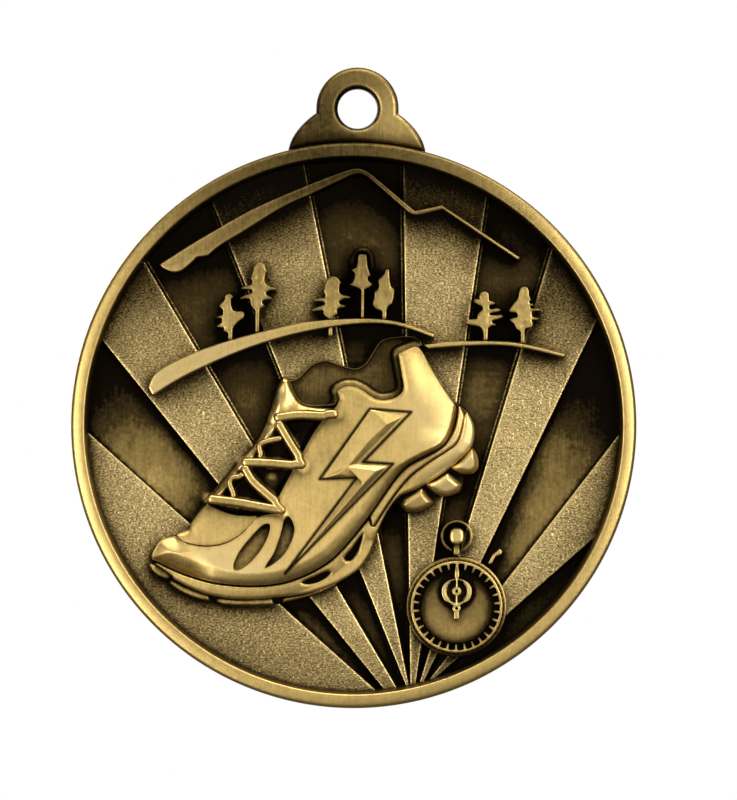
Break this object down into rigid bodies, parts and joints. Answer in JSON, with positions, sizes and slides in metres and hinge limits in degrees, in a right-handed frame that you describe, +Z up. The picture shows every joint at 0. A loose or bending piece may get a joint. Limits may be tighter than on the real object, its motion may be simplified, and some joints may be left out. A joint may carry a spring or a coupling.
{
  "type": "finisher medal",
  "caption": "Round cast medal with a ribbon lug and a raised rim; relief of a running shoe, stopwatch, pine hills, mountain line and sunburst.",
  "frame": {"origin": "centre of the ribbon eye, half way through the lug's thickness", "axes": "+Z up through the lug as it hangs, -Y out of the face with the relief, +X to the right when the face is seen"},
  "size_m": [0.05, 0.0039, 0.0568],
  "materials": {
    "polished_brass": "antique brass plate, brushed and worn bright",
    "stippled_brass": "antique brass plate over a fine cast stipple",
    "sunk_patina": "antique brass plate, darkened in the recesses"
  },
  "bodies": {
    "root": {"backplate": "sunk_patina", "back_rim": "polished_brass", "rim": "polished_brass", "ribbon_lug": "polished_brass", "ray_1": "stippled_brass", "ray_2": "stippled_brass", "ray_3": "stippled_brass", "ray_4": "stippled_brass", "ray_5": "stippled_brass", "ray_6": "stippled_brass", "slope_left": "polished_brass", "slope_right": "polished_brass", "mountain_outline": "polished_brass", "hill_left": "polished_brass", "hill_right": "polished_brass", "pine_root": "polished_brass", "pine_1": "polished_brass", "pine_2": "polished_brass", "pine_3": "polished_brass", "pine_4": "polished_brass", "pine_5": "polished_brass", "pine_6": "polished_brass", "pine_7": "polished_brass", "pine_4_crown": "sunk_patina", "shoe_plinth": "sunk_patina", "shoe_lining": "sunk_patina", "shoe_tongue": "sunk_patina", "shoe_vamp": "polished_brass", "shoe_upper": "polished_brass", "midsole_rib": "polished_brass", "midsole": "polished_brass", "tread_toe": "polished_brass", "tread_front": "polished_brass", "tread_ball": "polished_brass", "tread_arch": "polished_brass", "heel_lug_1": "polished_brass", "heel_lug_2": "polished_brass", "heel_lug_3": "polished_brass", "shoe_bolt": "polished_brass", "lace_1": "polished_brass", "lace_2": "polished_brass", "lace_3": "polished_brass", "lace_4": "polished_brass", "lace_5": "polished_brass", "lace_6": "polished_brass", "lace_7": "polished_brass", "watch_case": "sunk_patina", "watch_bezel": "polished_brass", "watch_dial": "polished_brass", "watch_hand": "polished_brass", "watch_crown": "polished_brass", "watch_stem": "sunk_patina", "watch_bow": "polished_brass", "watch_pusher": "polished_brass"}
  },
  "joints": []
}
